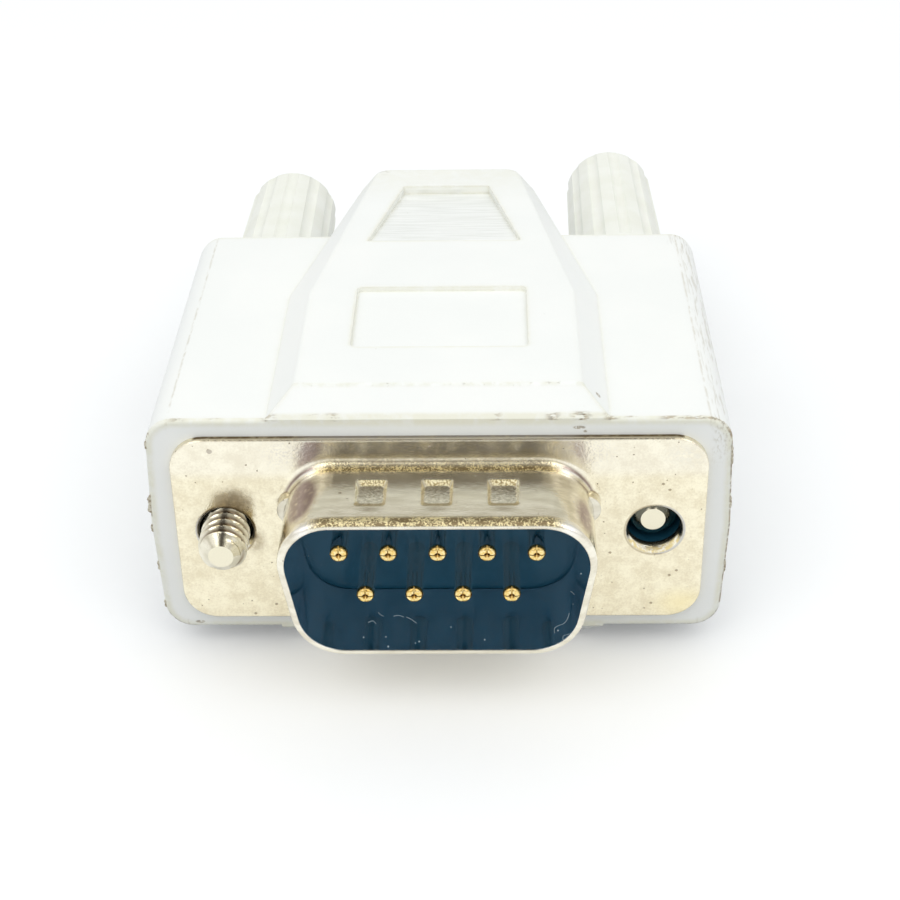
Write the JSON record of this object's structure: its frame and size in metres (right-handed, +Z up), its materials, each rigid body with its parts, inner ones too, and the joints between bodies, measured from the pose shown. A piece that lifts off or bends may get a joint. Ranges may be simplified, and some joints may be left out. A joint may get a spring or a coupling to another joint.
{
  "type": "serial loopback plug",
  "caption": "Serial loopback plug: D-shaped pin connector in a moulded hood with captive thumbscrews that slide and turn.",
  "frame": {"origin": "centre of the bounding box in plan, on the surface that the lower hump rests on", "axes": "+Z up, +Y from the mating face towards the thumbscrew knobs, +X to the right seen from the mating face"},
  "size_m": [0.034, 0.0548, 0.0177],
  "materials": {
    "hood_plastic": "satin",
    "inner_mould_plastic": "matte",
    "nickel_shell": "satin",
    "insulator": "satin",
    "rear_shell_steel": "satin",
    "gold_contact": "gloss",
    "tinned_wire": "satin",
    "screw_steel": "gloss",
    "knob_plastic": "satin",
    "retainer_steel": "satin"
  },
  "bodies": {
    "plug": {"hood": "hood_plastic", "inner_mould": "inner_mould_plastic", "front_shell": "nickel_shell", "front_insulator": "insulator", "rear_insulator": "insulator", "rear_shell": "rear_shell_steel", "pin_1": "gold_contact", "pin_2": "gold_contact", "pin_3": "gold_contact", "pin_4": "gold_contact", "pin_5": "gold_contact", "pin_6": "gold_contact", "pin_7": "gold_contact", "pin_8": "gold_contact", "pin_9": "gold_contact", "jumper_2_3": "tinned_wire", "jumper_7_8": "tinned_wire", "jumper_1_6": "tinned_wire", "jumper_4_6": "tinned_wire"},
    "left_carrier": {"left_retainer": "retainer_steel"},
    "left_thumbscrew": {"left_screw": "screw_steel", "left_knob": "knob_plastic"},
    "right_carrier": {"right_retainer": "retainer_steel"},
    "right_thumbscrew": {"right_screw": "screw_steel", "right_knob": "knob_plastic"}
  },
  "joints": [
    {"name": "left_slide", "type": "slide", "parent": "plug", "child": "left_carrier", "axis": [0, -1, 0], "range_m": [-0.005, 0.003]},
    {"name": "left_spin", "type": "hinge", "parent": "left_carrier", "child": "left_thumbscrew", "pos_m": [-0.01249, -0.02157, 0.00885], "axis": [0, -1, 0], "continuous": true},
    {"name": "right_slide", "type": "slide", "parent": "plug", "child": "right_carrier", "axis": [0, -1, 0], "range_m": [-0.0014, 0.0066]},
    {"name": "right_spin", "type": "hinge", "parent": "right_carrier", "child": "right_thumbscrew", "pos_m": [0.01249, -0.02157, 0.00885], "axis": [0, -1, 0], "continuous": true}
  ]
}
